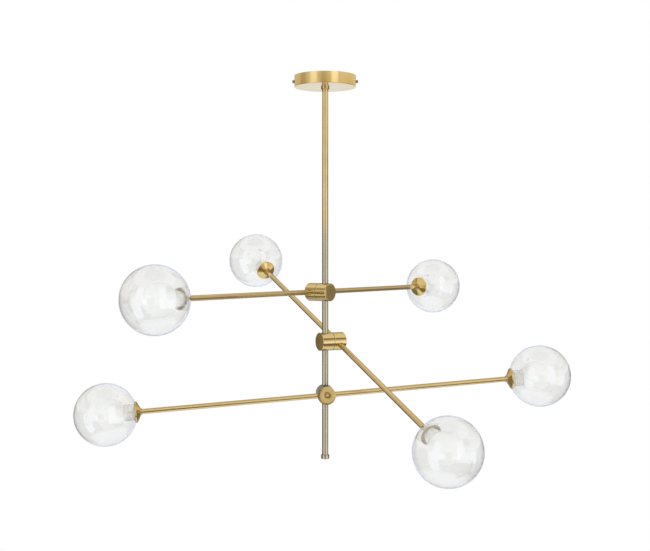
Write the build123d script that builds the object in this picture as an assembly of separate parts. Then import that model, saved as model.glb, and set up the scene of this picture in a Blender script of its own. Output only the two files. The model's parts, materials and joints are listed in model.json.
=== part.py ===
from build123d import *
from math import cos, radians, sin, sqrt
import os

# Sputnik chandelier: a ceiling canopy, one straight stem, three swivel joints that each carry a
# pair of arms, and a double-walled glass globe on the end of each arm.
# Millimetres and degrees. Origin: ceiling plane on the stem axis. +Z up, +X right, +Y to the rear.

# Canopy and ceiling bracket
CANOPY_DIAMETER = 120.0
CANOPY_HEIGHT = 22.0
CANOPY_WALL = 1.2
CANOPY_EDGE_RADIUS = 1.0
BRACKET_WIDTH = 20.0
BRACKET_THICKNESS = 2.0
BRACKET_BEND_RADIUS = 2.5
BRACKET_CENTRE_HOLE = 10.5
EAR_LENGTH = 16.0
EAR_GAP = 0.1
SLOT_SPACING = 80.0
SLOT_LENGTH = 16.0
SLOT_WIDTH = 5.0
SIDE_SCREW_DIAMETER = 4.0
SIDE_SCREW_LENGTH = 8.0
SIDE_SCREW_DROP = 11.0
SIDE_SCREW_HEAD_DIAMETER = 6.0
SIDE_SCREW_HEAD_LENGTH = 3.6
SIDE_SCREW_SLOT = 0.8
EARTH_SCREW_DIAMETER = 4.0
EARTH_SCREW_HEAD_DIAMETER = 8.0
EARTH_SCREW_HEAD_LENGTH = 2.4
EARTH_SCREW_X = -20.0

# Terminal block and the lead that runs down inside the stem
TERMINAL_LENGTH = 18.0
TERMINAL_WIDTH = 16.0
TERMINAL_HEIGHT = 10.0
TERMINAL_X = 12.0
TERMINAL_WAYS = 3
TERMINAL_SCREW_HOLE = 2.8
TERMINAL_SCREW_DEPTH = 3.0
TERMINAL_ENTRY_HOLE = 3.2
TERMINAL_ENTRY_DEPTH = 6.0
LEAD_DIAMETER = 5.0
LEAD_BEND_RADIUS = 7.0
LEAD_TAIL = 6.0

# Stem and its fastening to the canopy
STEM_DIAMETER = 12.0
STEM_WALL = 1.0
TOTAL_DROP = 743.0
NIPPLE_BORE = 5.6
NIPPLE_THREAD_BELOW = 14.0
NIPPLE_THREAD_ABOVE_NUT = 0.7
NUT_ACROSS_FLATS = 14.0
NUT_THICKNESS = 3.0
WASHER_DIAMETER = 18.0
WASHER_THICKNESS = 0.8
COLLAR_DIAMETER = 16.0
COLLAR_HEIGHT = 4.0
COLLAR_CHAMFER = 0.8
END_CAP_DIAMETER = 16.0
END_CAP_HEIGHT = 8.0
END_CAP_CHAMFER = 0.8
END_CAP_SPIGOT = 6.0

# Swivel joints: a clamp half on the stem and a hub half that carries the arms
BLOCK_DIAMETER = 35.0
BLOCK_CHAMFER = 0.5
CLAMP_LENGTH = 25.0
HUB_LENGTH = 25.0
HALF_GAP = 0.6
WASHER_RECESS = 0.4
PIVOT_DIAMETER = 6.0
PIVOT_THREAD_END_GAP = 0.6
PIVOT_HEAD_DIAMETER = 8.4
PIVOT_HEAD_LENGTH = 2.4
PIVOT_HEAD_RECESS = 2.2
PIVOT_HEAD_CLEARANCE = 0.4
PIVOT_DOME_DIAMETER = 5.2
PIVOT_DOME_RECESS = 0.4
FRICTION_WASHER_DIAMETER = 13.0
GRUB_DIAMETER = 5.0
GRUB_RECESS = 1.5
GRUB_SOCKET_FLATS = 2.5
GRUB_SOCKET_DEPTH = 2.0
WIRE_HOLE = 4.0
WIRE_HOLE_RADIUS = 9.0
WIRE_RACE_DEPTH = 3.0
WIRE_RACE_WIDTH = 4.6
SWIVEL_RANGE = 40.0
SLOT_MARGIN = 10.0

# Arms
ARM_DIAMETER = 10.0
ARM_WALL = 1.0
ARM_SOCKET_DEPTH = 6.0
ARM_REACH = 420.0
HUB_BORE = 8.0

# Lamp heads, from the arm outwards
CUP_DIAMETER = 40.5
CUP_DEPTH = 8.5
CUP_WALL = 1.2
CUP_RIM_HEIGHT = 2.0
CUP_FLOOR_DIAMETER = 16.0
CUP_EDGE_RADIUS = 2.0
CUP_BOSS_DIAMETER = 13.0
CUP_BOSS_LENGTH = 3.0
CUP_TO_GLASS = 0.1
HOLDER_DIAMETER = 27.0
HOLDER_STEM_DIAMETER = 14.0
HOLDER_TO_CUP = 0.3
HOLDER_SPIGOT_LENGTH = 8.0
HOLDER_THREAD_PITCH = 4.0
HOLDER_THREAD_DEPTH = 0.9
HOLDER_NOSE_DIAMETER = 18.0
HOLDER_NOSE_LENGTH = 5.0
HOLDER_BORE = 4.0
NECK_CLEARANCE = 0.15
GLOBE_DIAMETER = 120.0
GLOBE_WALL = 1.8
GLOBE_LIP_RADIUS = 0.8
OPAL_DIAMETER = 60.0
OPAL_WALL = 2.0
OPAL_OFFSET = 10.0
CAPSULE_DIAMETER = 14.0
CAPSULE_LENGTH = 36.0
CAPSULE_BASE_DIAMETER = 11.0
CAPSULE_BASE_LENGTH = 3.0

# Fits
RUNNING_FIT = 0.05
THREAD_FIT = 0.05
HOLE_CLEARANCE = 0.2

# Each joint: height of its axis above the stem's lower end, heading of its leading arm (0 = +X,
# turning towards +Y), tilt of that arm above level, side of the stem on which the hub sits, arm
# names. A longer stem lets the three joints down together.
JOINTS = {
    "upper": {"height": 324.0, "heading": 51.3, "tilt": 0.6, "side": 1, "arms": ("right", "left")},
    "middle": {"height": 228.0, "heading": -62.5, "tilt": -22.0, "side": 1, "arms": ("front", "back")},
    "lower": {"height": 127.0, "heading": 5.0, "tilt": 4.5, "side": -1, "arms": ("right", "left")},
}

CANOPY_RADIUS = CANOPY_DIAMETER / 2
CANOPY_INNER_RADIUS = CANOPY_RADIUS - CANOPY_WALL
CANOPY_FLOOR = CANOPY_WALL - CANOPY_HEIGHT
EAR_X = sqrt(CANOPY_INNER_RADIUS**2 - (BRACKET_WIDTH / 2) ** 2) - EAR_GAP
STEM_BORE = STEM_DIAMETER - 2 * STEM_WALL
NUT_TOP = CANOPY_FLOOR + WASHER_THICKNESS + NUT_THICKNESS
NIPPLE_TOP = NUT_TOP + NIPPLE_THREAD_ABOVE_NUT
LEAD_LEVEL = -BRACKET_THICKNESS - TERMINAL_HEIGHT / 2
STEM_BOTTOM = END_CAP_HEIGHT - TOTAL_DROP
CLAMP_FACE = CLAMP_LENGTH / 2
HUB_OFFSET = CLAMP_FACE + HALF_GAP + HUB_LENGTH / 2
PIVOT_HEAD_SEAT = HUB_LENGTH / 2 - PIVOT_HEAD_RECESS - PIVOT_HEAD_LENGTH
STEM_PASSAGE = STEM_DIAMETER + 2 * RUNNING_FIT
ARM_BORE = ARM_DIAMETER - 2 * ARM_WALL
ARM_START = BLOCK_DIAMETER / 2 - ARM_SOCKET_DEPTH
GLOBE_RADIUS = GLOBE_DIAMETER / 2
NECK_INNER = HOLDER_DIAMETER / 2 + NECK_CLEARANCE
NECK_OUTER = NECK_INNER + GLOBE_WALL
OPAL_RADIUS = OPAL_DIAMETER / 2
# Heights on a lamp head are measured along the arm from the centre of the globe.
OPAL_FOOT = -OPAL_OFFSET - sqrt(OPAL_RADIUS**2 - NECK_OUTER**2)
CUP_RIM_INNER = CUP_DIAMETER / 2 - CUP_WALL
CUP_RIM = -sqrt(GLOBE_RADIUS**2 - CUP_RIM_INNER**2) - CUP_TO_GLASS
CUP_BACK = CUP_RIM - CUP_DEPTH
CUP_SEAT = CUP_BACK + CUP_WALL
CUP_SLOPE = (CUP_DEPTH - CUP_RIM_HEIGHT) / (CUP_DIAMETER / 2 - CUP_FLOOR_DIAMETER / 2)
CUP_CONE_WALL = CUP_WALL * sqrt(1 + CUP_SLOPE**2)
HOLDER_TOP = OPAL_FOOT - RUNNING_FIT
CAPSULE_SEAT = HOLDER_TOP + HOLDER_NOSE_LENGTH


def disc(diameter, low, high):
    """A solid disc or rod on the Z axis."""
    return Pos(0, 0, low) * extrude(Circle(diameter / 2), high - low)


def ring(outer, inner, low, high):
    return disc(outer, low, high) - disc(inner, low - 1, high + 1)


def outline(*edges):
    """A flat outline of radius and height."""
    return make_face(Curve() + list(edges))


def rounded(profile, radius, *corners):
    for corner in corners:
        vertex = profile.vertices().sort_by_distance((*corner, 0))[0]
        profile = fillet(vertex, radius)
    return profile


def turned(profile):
    """Revolves an outline about Z."""
    return revolve(Plane.XZ * profile, Axis.Z)


def chain(*points):
    """Straight edges through a run of points."""
    return [Line(a, b) for a, b in zip(points, points[1:])]


def joint_level(joint):
    return joint["height"] - TOTAL_DROP


def hexagon(across_flats, low, high):
    outline = RegularPolygon(across_flats / 2, 6, major_radius=False)
    return Pos(0, 0, low) * extrude(outline, high - low)


def along_x(solid):
    """Turns a solid made on the Z axis to lie on the X axis."""
    return Rot(0, 90, 0) * solid


def canopy_cover():
    cup = disc(CANOPY_DIAMETER, -CANOPY_HEIGHT, 0)
    cup = fillet(cup.edges().group_by(Axis.Z)[0], CANOPY_EDGE_RADIUS)
    cup -= disc(2 * CANOPY_INNER_RADIUS, CANOPY_FLOOR, 1)
    cup -= disc(STEM_BORE + 2 * HOLE_CLEARANCE, -CANOPY_HEIGHT - 1, 1)
    hole = SIDE_SCREW_DIAMETER + 2 * HOLE_CLEARANCE
    across = along_x(disc(hole, -CANOPY_DIAMETER, CANOPY_DIAMETER))
    return cup - Pos(0, 0, -SIDE_SCREW_DROP) * across


def ceiling_bracket():
    strap = Rectangle(2 * EAR_X, EAR_LENGTH, align=(Align.CENTER, Align.MAX))
    strap = fillet(strap.vertices().group_by(Axis.Y)[-1], BRACKET_BEND_RADIUS)
    inside = Pos(0, -BRACKET_THICKNESS) * Rectangle(
        2 * (EAR_X - BRACKET_THICKNESS), EAR_LENGTH, align=(Align.CENTER, Align.MAX)
    )
    bracket = extrude(Plane.XZ * (strap - inside), BRACKET_WIDTH / 2, both=True)
    bracket -= disc(BRACKET_CENTRE_HOLE, -EAR_LENGTH, 1)
    for x in (-SLOT_SPACING / 2, SLOT_SPACING / 2):
        slot = extrude(SlotOverall(SLOT_LENGTH, SLOT_WIDTH), BRACKET_THICKNESS + 2)
        bracket -= Pos(x, 0, -BRACKET_THICKNESS - 1) * slot
    earth_hole = disc(EARTH_SCREW_DIAMETER + 2 * THREAD_FIT, -EAR_LENGTH, 1)
    bracket -= Pos(EARTH_SCREW_X, 0, 0) * earth_hole
    hole = SIDE_SCREW_DIAMETER + 2 * THREAD_FIT
    across = along_x(disc(hole, -CANOPY_DIAMETER, CANOPY_DIAMETER))
    return bracket - Pos(0, 0, -SIDE_SCREW_DROP) * across


def side_screw():
    """One thumb screw on the X axis, its head outside the canopy wall."""
    head_end = CANOPY_RADIUS + SIDE_SCREW_HEAD_LENGTH
    head = disc(SIDE_SCREW_HEAD_DIAMETER, CANOPY_RADIUS, head_end)
    head = fillet(head.edges().group_by(Axis.Z)[-1], SIDE_SCREW_HEAD_LENGTH / 4)
    slot = Box(SIDE_SCREW_SLOT, CANOPY_RADIUS, SIDE_SCREW_HEAD_LENGTH / 2)
    head -= Pos(0, 0, head_end) * slot
    screw = head + disc(SIDE_SCREW_DIAMETER, CANOPY_RADIUS - SIDE_SCREW_LENGTH, CANOPY_RADIUS)
    return Pos(0, 0, -SIDE_SCREW_DROP) * along_x(screw)


def earth_screw():
    seat = -BRACKET_THICKNESS
    head = disc(EARTH_SCREW_HEAD_DIAMETER, seat - EARTH_SCREW_HEAD_LENGTH, seat)
    head = chamfer(head.edges().group_by(Axis.Z)[0], EARTH_SCREW_HEAD_LENGTH / 4)
    head -= Pos(0, 0, seat - EARTH_SCREW_HEAD_LENGTH) * Box(
        EARTH_SCREW_HEAD_DIAMETER * 2, SIDE_SCREW_SLOT, EARTH_SCREW_HEAD_LENGTH
    )
    return Pos(EARTH_SCREW_X, 0, 0) * (head + disc(EARTH_SCREW_DIAMETER, seat, -EAR_GAP))


def terminal_block():
    """A three-way screw terminal under the strap; the supply enters the end away from the stem."""
    middle = TERMINAL_X + TERMINAL_LENGTH / 2
    block = Pos(middle, 0, LEAD_LEVEL) * Box(TERMINAL_LENGTH, TERMINAL_WIDTH, TERMINAL_HEIGHT)
    pitch = TERMINAL_WIDTH / TERMINAL_WAYS
    base = -BRACKET_THICKNESS - TERMINAL_HEIGHT
    for way in range(TERMINAL_WAYS):
        y = (way - (TERMINAL_WAYS - 1) / 2) * pitch
        for x in (middle - TERMINAL_LENGTH / 4, middle + TERMINAL_LENGTH / 4):
            block -= Pos(x, y, base) * disc(TERMINAL_SCREW_HOLE, -1, TERMINAL_SCREW_DEPTH)
        entry = along_x(disc(TERMINAL_ENTRY_HOLE, -TERMINAL_ENTRY_DEPTH, 1))
        block -= Pos(TERMINAL_X + TERMINAL_LENGTH, y, LEAD_LEVEL) * entry
    return block


def supply_lead():
    """Sheathed lead from the terminal block, over a bend and down the stem to the lowest joint."""
    low = joint_level(JOINTS["lower"]) - LEAD_TAIL
    turn = LEAD_LEVEL - LEAD_BEND_RADIUS
    path = Line((0, 0, low), (0, 0, turn))
    path += RadiusArc((0, turn), (LEAD_BEND_RADIUS, LEAD_LEVEL), LEAD_BEND_RADIUS).moved(
        Plane.XZ.location
    )
    path += Line((LEAD_BEND_RADIUS, 0, LEAD_LEVEL), (TERMINAL_X, 0, LEAD_LEVEL))
    return sweep(Pos(0, 0, low) * Circle(LEAD_DIAMETER / 2), path)


def stem_nipple():
    bottom = -CANOPY_HEIGHT - NIPPLE_THREAD_BELOW
    return ring(STEM_BORE - 2 * THREAD_FIT, NIPPLE_BORE, bottom, NIPPLE_TOP)


def nipple_washer():
    hole = STEM_BORE + 2 * HOLE_CLEARANCE
    return ring(WASHER_DIAMETER, hole, CANOPY_FLOOR, CANOPY_FLOOR + WASHER_THICKNESS)


def nipple_nut():
    low = CANOPY_FLOOR + WASHER_THICKNESS
    nut = hexagon(NUT_ACROSS_FLATS, low, low + NUT_THICKNESS)
    return nut - disc(STEM_BORE, low - 1, low + NUT_THICKNESS + 1)


def canopy_collar():
    low = -CANOPY_HEIGHT - COLLAR_HEIGHT
    collar = disc(COLLAR_DIAMETER, low, -CANOPY_HEIGHT)
    collar = chamfer(collar.edges().group_by(Axis.Z)[0], COLLAR_CHAMFER)
    return collar - disc(STEM_DIAMETER + 2 * RUNNING_FIT, low - 1, 0)


def stem_tube():
    """The stem, with a window behind each joint for the wires, wide enough for the swivel."""
    tube = ring(STEM_DIAMETER, STEM_BORE, STEM_BOTTOM, -CANOPY_HEIGHT)
    sweep_angle = 2 * (SWIVEL_RANGE + SLOT_MARGIN)
    for joint in JOINTS.values():
        start = joint["heading"] + 90 * joint["side"] - sweep_angle / 2
        window = Cylinder(STEM_DIAMETER, WIRE_HOLE, arc_size=sweep_angle)
        tube -= Pos(0, 0, WIRE_HOLE_RADIUS + joint_level(joint)) * Rot(0, 0, start) * window
    return tube


def stem_end_cap():
    cap = disc(END_CAP_DIAMETER, -TOTAL_DROP, STEM_BOTTOM)
    cap = chamfer(cap.edges().group_by(Axis.Z)[0], END_CAP_CHAMFER)
    return cap + disc(STEM_BORE - 2 * THREAD_FIT, STEM_BOTTOM, STEM_BOTTOM + END_CAP_SPIGOT)


def outward(joint):
    """Level direction from the stem towards the joint's hub."""
    heading = radians(joint["heading"])
    return Vector(-sin(heading), cos(heading), 0) * joint["side"]


def arm_direction(joint, sign):
    heading, tilt = radians(joint["heading"]), radians(joint["tilt"])
    return Vector(cos(heading) * cos(tilt), sin(heading) * cos(tilt), sin(tilt)) * sign


def clamp_frame(joint):
    """Z along the joint axis towards the hub, X up the stem, origin on the stem axis."""
    return Plane((0, 0, joint_level(joint)), x_dir=(0, 0, 1), z_dir=outward(joint))


def hub_frame(joint):
    """Z along the joint axis away from the stem, X along the leading arm, origin in the hub."""
    centre = Vector(0, 0, joint_level(joint)) + outward(joint) * HUB_OFFSET
    return Plane(centre, x_dir=arm_direction(joint, 1), z_dir=outward(joint))


def arm_frame(joint, sign):
    """Z out along one arm, origin in the hub."""
    return Plane(hub_frame(joint).origin, x_dir=outward(joint), z_dir=arm_direction(joint, sign))


def grub_side(joint):
    """The set screw enters from the side of the clamp that faces the rear."""
    return 1 if clamp_frame(joint).y_dir.Y > 0 else -1


def turned_block(low, high):
    block = disc(BLOCK_DIAMETER, low, high)
    return chamfer(block.edges().filter_by(GeomType.CIRCLE), BLOCK_CHAMFER)


def stem_clamp(joint):
    clamp = turned_block(-CLAMP_FACE, CLAMP_FACE)
    clamp -= along_x(disc(STEM_PASSAGE, -BLOCK_DIAMETER, BLOCK_DIAMETER))
    recess = FRICTION_WASHER_DIAMETER + 2 * HOLE_CLEARANCE
    clamp -= disc(recess, CLAMP_FACE - WASHER_RECESS, CLAMP_LENGTH)
    clamp -= disc(PIVOT_DIAMETER + 2 * THREAD_FIT, 0, CLAMP_LENGTH)
    clamp -= Pos(WIRE_HOLE_RADIUS, 0, 0) * disc(WIRE_HOLE, 0, CLAMP_LENGTH)
    grub = disc(GRUB_DIAMETER + 2 * THREAD_FIT, 0, BLOCK_DIAMETER)
    return clamp - Rot(-90 * grub_side(joint), 0, 0) * grub


def clamp_grub_screw(joint):
    tip = STEM_PASSAGE / 2
    end = BLOCK_DIAMETER / 2 - GRUB_RECESS
    screw = disc(GRUB_DIAMETER, tip, end)
    screw = chamfer(screw.edges().group_by(Axis.Z)[0], GRUB_RECESS / 3)
    screw -= hexagon(GRUB_SOCKET_FLATS, end - GRUB_SOCKET_DEPTH, end + 1)
    return Rot(-90 * grub_side(joint), 0, 0) * screw


def friction_washer(joint):
    low = CLAMP_FACE - WASHER_RECESS
    hole = PIVOT_DIAMETER + 2 * HOLE_CLEARANCE
    return ring(FRICTION_WASHER_DIAMETER, hole, low, CLAMP_FACE + HALF_GAP - RUNNING_FIT)


def pivot_bolt(joint):
    """Holds the hub to the clamp: the hub turns on its shank, and its dome stands in a recess."""
    seat = HUB_OFFSET + PIVOT_HEAD_SEAT + RUNNING_FIT
    top = seat + PIVOT_HEAD_LENGTH
    dome_top = top + PIVOT_HEAD_RECESS - PIVOT_DOME_RECESS
    tip = STEM_PASSAGE / 2 + PIVOT_THREAD_END_GAP
    shank, head, dome = PIVOT_DIAMETER / 2, PIVOT_HEAD_DIAMETER / 2, PIVOT_DOME_DIAMETER / 2
    sides = chain(
        (0, dome_top), (0, tip), (shank, tip), (shank, seat), (head, seat), (head, top), (dome, top),
    )
    crown = Spline((dome, top), (0, dome_top), tangents=((0, 1), (-1, 0)))
    return turned(outline(*sides, crown))


def arm_hub(joint):
    """The hub's wire race lets the wires pass from the clamp to both arms at any tilt."""
    inner, outer = -HUB_LENGTH / 2, HUB_LENGTH / 2
    hub = turned_block(inner, outer)
    hub -= along_x(disc(HUB_BORE, -BLOCK_DIAMETER, BLOCK_DIAMETER))
    for sign in (-1, 1):
        socket = disc(ARM_DIAMETER + 2 * THREAD_FIT, ARM_START, BLOCK_DIAMETER)
        hub -= Rot(0, 90 * sign, 0) * socket
        hub -= Pos(sign * WIRE_HOLE_RADIUS, 0, 0) * disc(WIRE_HOLE, inner - 1, 0)
    race_inner = 2 * WIRE_HOLE_RADIUS - WIRE_RACE_WIDTH
    race_outer = 2 * WIRE_HOLE_RADIUS + WIRE_RACE_WIDTH
    race = disc(race_outer, inner - 1, inner + WIRE_RACE_DEPTH)
    hub -= race - disc(race_inner, inner - 2, inner + WIRE_RACE_DEPTH + 1)
    hub -= disc(PIVOT_DIAMETER + 2 * RUNNING_FIT, inner - 1, outer + 1)
    return hub - disc(PIVOT_HEAD_DIAMETER + 2 * PIVOT_HEAD_CLEARANCE, PIVOT_HEAD_SEAT, outer + 1)


def arm_tube():
    return ring(ARM_DIAMETER, ARM_BORE, ARM_START, ARM_REACH + CUP_BACK)


def cup_inside(radius):
    """Height of the inner face of the cup's cone."""
    return CUP_BACK + CUP_SLOPE * (radius - CUP_FLOOR_DIAMETER / 2) + CUP_CONE_WALL


def globe_cup():
    """Shallow spun cone behind the globe, with a boss that the arm screws into."""
    outer, floor, boss = CUP_DIAMETER / 2, CUP_FLOOR_DIAMETER / 2, CUP_BOSS_DIAMETER / 2
    bore = ARM_DIAMETER / 2 + THREAD_FIT
    hole = ARM_BORE / 2 + THREAD_FIT
    low, shoulder = CUP_BACK - CUP_BOSS_LENGTH, CUP_RIM - CUP_RIM_HEIGHT
    inner_floor = floor - (CUP_CONE_WALL - CUP_WALL) / CUP_SLOPE
    profile = outline(*chain(
        (hole, CUP_SEAT), (hole, CUP_BACK), (bore, CUP_BACK), (bore, low), (boss, low),
        (boss, CUP_BACK), (floor, CUP_BACK), (outer, shoulder), (outer, CUP_RIM),
        (CUP_RIM_INNER, CUP_RIM),
        (CUP_RIM_INNER, cup_inside(CUP_RIM_INNER)), (inner_floor, CUP_SEAT), (hole, CUP_SEAT),
    ))
    return turned(rounded(profile, CUP_EDGE_RADIUS, (outer, shoulder)))


def lampholder():
    """Spigot into the arm, stem on the cup's floor, screw-ridged barrel and a nose for the lamp."""
    crest, root = HOLDER_DIAMETER / 2, HOLDER_DIAMETER / 2 - HOLDER_THREAD_DEPTH
    thread_low = cup_inside(crest) + HOLDER_TO_CUP
    turns = int((HOLDER_TOP - thread_low) / HOLDER_THREAD_PITCH)
    pitch = (HOLDER_TOP - thread_low) / turns
    ridges = [(root, thread_low)]
    for turn in range(turns):
        ridges.append((crest, thread_low + (turn + 0.5) * pitch))
        ridges.append((root, thread_low + (turn + 1) * pitch))
    spigot, bore = ARM_BORE / 2 - THREAD_FIT, HOLDER_BORE / 2
    low = CUP_BACK - HOLDER_SPIGOT_LENGTH
    nose, stem = HOLDER_NOSE_DIAMETER / 2, HOLDER_STEM_DIAMETER / 2
    pocket = CAPSULE_BASE_DIAMETER / 2 + HOLE_CLEARANCE
    pocket_floor = CAPSULE_SEAT - CAPSULE_BASE_LENGTH
    return turned(outline(*chain(
        (bore, low), (spigot, low), (spigot, CUP_SEAT), (stem, CUP_SEAT), (stem, thread_low),
        *ridges,
        (nose, HOLDER_TOP), (nose, CAPSULE_SEAT), (pocket, CAPSULE_SEAT), (pocket, pocket_floor),
        (bore, pocket_floor), (bore, low),
    )))


def clear_globe():
    """Blown clear shell that folds in at its mouth to a neck around the lampholder."""
    outer, inner = GLOBE_RADIUS, GLOBE_RADIUS - GLOBE_WALL
    mouth = (NECK_INNER, -sqrt(outer**2 - NECK_INNER**2))
    fold = (NECK_OUTER, -sqrt(inner**2 - NECK_OUTER**2))
    crown = ThreePointArc(mouth, (outer, 0), (0, outer))
    inside = ThreePointArc((0, inner), (inner, 0), fold)
    neck = chain(fold, (NECK_OUTER, OPAL_FOOT), (NECK_INNER, OPAL_FOOT), mouth)
    profile = outline(crown, Line((0, outer), (0, inner)), inside, *neck)
    return turned(rounded(profile, GLOBE_LIP_RADIUS, mouth, fold))


def opal_globe():
    """Opal inner ball, fused by its foot to the end of the clear neck."""
    outer, inner = OPAL_RADIUS, OPAL_RADIUS - OPAL_WALL
    foot_inner = (sqrt(inner**2 - (OPAL_FOOT + OPAL_OFFSET) ** 2), OPAL_FOOT)
    foot_outer = (NECK_OUTER, OPAL_FOOT)
    top, top_inside = (0, outer - OPAL_OFFSET), (0, inner - OPAL_OFFSET)
    crown = ThreePointArc(foot_outer, (outer, -OPAL_OFFSET), top)
    inside = ThreePointArc(top_inside, (inner, -OPAL_OFFSET), foot_inner)
    return turned(outline(crown, Line(top, top_inside), inside, Line(foot_inner, foot_outer)))


def led_capsule():
    """Plug-in lamp capsule standing in the lampholder's nose."""
    radius, base = CAPSULE_DIAMETER / 2, CAPSULE_BASE_DIAMETER / 2
    low = CAPSULE_SEAT - CAPSULE_BASE_LENGTH
    top = CAPSULE_SEAT + CAPSULE_LENGTH
    sides = chain(
        (0, top), (0, low), (base, low), (base, CAPSULE_SEAT), (radius, CAPSULE_SEAT),
        (radius, top - radius),
    )
    return turned(outline(*sides, RadiusArc((radius, top - radius), (0, top), -radius)))


def write(name, *solids):
    shape = solids[0] if len(solids) == 1 else Compound(children=list(solids))
    export_step(shape, f"parts/{name}.step")


def write_root():
    write("canopy_cover", canopy_cover())
    write("ceiling_bracket", ceiling_bracket())
    write("canopy_side_screws", side_screw(), Rot(0, 0, 180) * side_screw())
    write("earth_screw", earth_screw())
    write("terminal_block", terminal_block())
    write("supply_lead", supply_lead())
    write("stem_nipple", stem_nipple())
    write("nipple_washer", nipple_washer())
    write("nipple_nut", nipple_nut())
    write("canopy_collar", canopy_collar())
    write("stem_tube", stem_tube())
    write("stem_end_cap", stem_end_cap())


def write_joint(name, joint):
    clamp = clamp_frame(joint).location
    write(f"{name}_stem_clamp", clamp * stem_clamp(joint))
    write(f"{name}_grub_screw", clamp * clamp_grub_screw(joint))
    write(f"{name}_friction_washer", clamp * friction_washer(joint))
    write(f"{name}_pivot_bolt", clamp * pivot_bolt(joint))
    write(f"{name}_arm_hub", hub_frame(joint).location * arm_hub(joint))


def write_lamps(name, joint):
    capsules = []
    for arm, sign in zip(joint["arms"], (1, -1)):
        arm_place = arm_frame(joint, sign).location
        lamp_place = arm_place * Pos(0, 0, ARM_REACH)
        write(f"{name}_{arm}_arm_tube", arm_place * arm_tube())
        write(f"{name}_{arm}_globe_cup", lamp_place * globe_cup())
        write(f"{name}_{arm}_lampholder", lamp_place * lampholder())
        write(f"{name}_{arm}_clear_globe", lamp_place * clear_globe())
        write(f"{name}_{arm}_opal_globe", lamp_place * opal_globe())
        capsules.append(lamp_place * led_capsule())
    write(f"{name}_led_capsules", *capsules)


os.makedirs("parts", exist_ok=True)
write_root()
for joint_name, joint_sizes in JOINTS.items():
    write_joint(joint_name, joint_sizes)
    write_lamps(joint_name, joint_sizes)
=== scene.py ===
import json
from math import atan2, ceil, cos, degrees, pi, radians, sin, sqrt, tau

import bmesh
import bpy
from mathutils import Matrix, Vector


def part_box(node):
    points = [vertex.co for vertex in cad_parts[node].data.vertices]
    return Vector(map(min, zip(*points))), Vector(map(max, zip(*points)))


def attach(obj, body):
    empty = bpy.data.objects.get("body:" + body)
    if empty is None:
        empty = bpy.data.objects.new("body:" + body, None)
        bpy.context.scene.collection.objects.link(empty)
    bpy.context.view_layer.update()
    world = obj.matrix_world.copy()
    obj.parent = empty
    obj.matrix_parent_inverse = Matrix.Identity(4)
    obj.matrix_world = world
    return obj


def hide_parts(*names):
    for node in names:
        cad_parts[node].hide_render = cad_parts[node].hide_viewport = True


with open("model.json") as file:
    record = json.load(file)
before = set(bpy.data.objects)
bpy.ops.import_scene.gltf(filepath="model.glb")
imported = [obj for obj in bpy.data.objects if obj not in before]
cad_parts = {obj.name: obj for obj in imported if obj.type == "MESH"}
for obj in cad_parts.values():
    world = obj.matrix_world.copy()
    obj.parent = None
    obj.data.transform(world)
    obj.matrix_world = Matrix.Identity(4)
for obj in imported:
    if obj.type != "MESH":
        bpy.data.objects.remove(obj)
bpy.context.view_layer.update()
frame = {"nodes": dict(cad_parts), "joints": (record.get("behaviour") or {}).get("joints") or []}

# Sputnik chandelier, dressed on its CAD frame. Lengths in this file are millimetres until a mesh
# is made. Heights on a lamp head are measured along the arm from the centre of its globe.
MM = 0.001

SLIP = 0.05  # clearance between pieces that slide together
SKIN = 0.02  # how far a face keeps off the face that it rests on

CANOPY_RADIUS = 60.0
CANOPY_HEIGHT = 22.0
CANOPY_WALL = 1.2
CANOPY_EDGE = 1.0
CANOPY_HOLE_RADIUS = 5.2

SIDE_SCREW_DROP = 11.0
SIDE_SCREW_HEAD_RADIUS = 3.0
SIDE_SCREW_HEAD = 3.6
SIDE_SCREW_RADIUS = 2.0
SIDE_SCREW_LENGTH = 8.0
SIDE_SCREW_SLOT = 0.8
SLOT_CUTTER_LENGTH = 12.0
KNURL_RIDGES = 24
KNURL_DEPTH = 0.12

STEM_RADIUS = 6.0
STEM_BORE_RADIUS = 5.0
TOTAL_DROP = 743.0
COLLAR_RADIUS = 8.0
COLLAR_HEIGHT = 4.0
END_CAP_RADIUS = 8.0
END_CAP_HEIGHT = 8.0
END_CAP_PLUG = 6.0
TURNED_CHAMFER = 0.8

BLOCK_RADIUS = 17.5
HALF_LENGTH = 12.5
HALF_GAP = 0.6
BLOCK_CHAMFER = 0.5
HUB_OFFSET = 2 * HALF_LENGTH + HALF_GAP
STEM_PASSAGE_RADIUS = 6.05
WASHER_RADIUS = 6.7
WASHER_RECESS = 0.4
GRUB_HOLE_RADIUS = 2.55

PIVOT_RADIUS = 3.0
PIVOT_CLEARANCE = 0.1
PIVOT_HEAD_RADIUS = 4.2
PIVOT_HEAD = 2.4
PIVOT_RECESS = 2.2
PIVOT_DOME_RADIUS = 2.6
PIVOT_DOME_RECESS = 0.4
PIVOT_TIP = 6.65
COUNTERBORE_RADIUS = 4.6

ARM_RADIUS = 5.0
ARM_BORE_RADIUS = 4.0
ARM_START = 11.5
ARM_REACH = 420.0
ARM_SOCKET_RADIUS = 5.05

GLOBE_RADIUS = 60.0
GLOBE_WALL = 1.8
GLOBE_LIP = 0.8
NECK_CLEARANCE = 0.15
OPAL_RADIUS = 30.0
OPAL_WALL = 2.0
OPAL_OFFSET = 10.0

CUP_RADIUS = 20.25
CUP_DEPTH = 8.5
CUP_WALL = 1.2
CUP_RIM_HEIGHT = 2.0
CUP_FLOOR_RADIUS = 8.0
CUP_BOSS_RADIUS = 6.5
CUP_BOSS = 3.0
CUP_TO_GLASS = 0.1
CUP_SHOULDER = ((1.4, -0.75), (0.5, -0.1), (0.0, 0.9))  # inset and rise of its rounded shoulder

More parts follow.
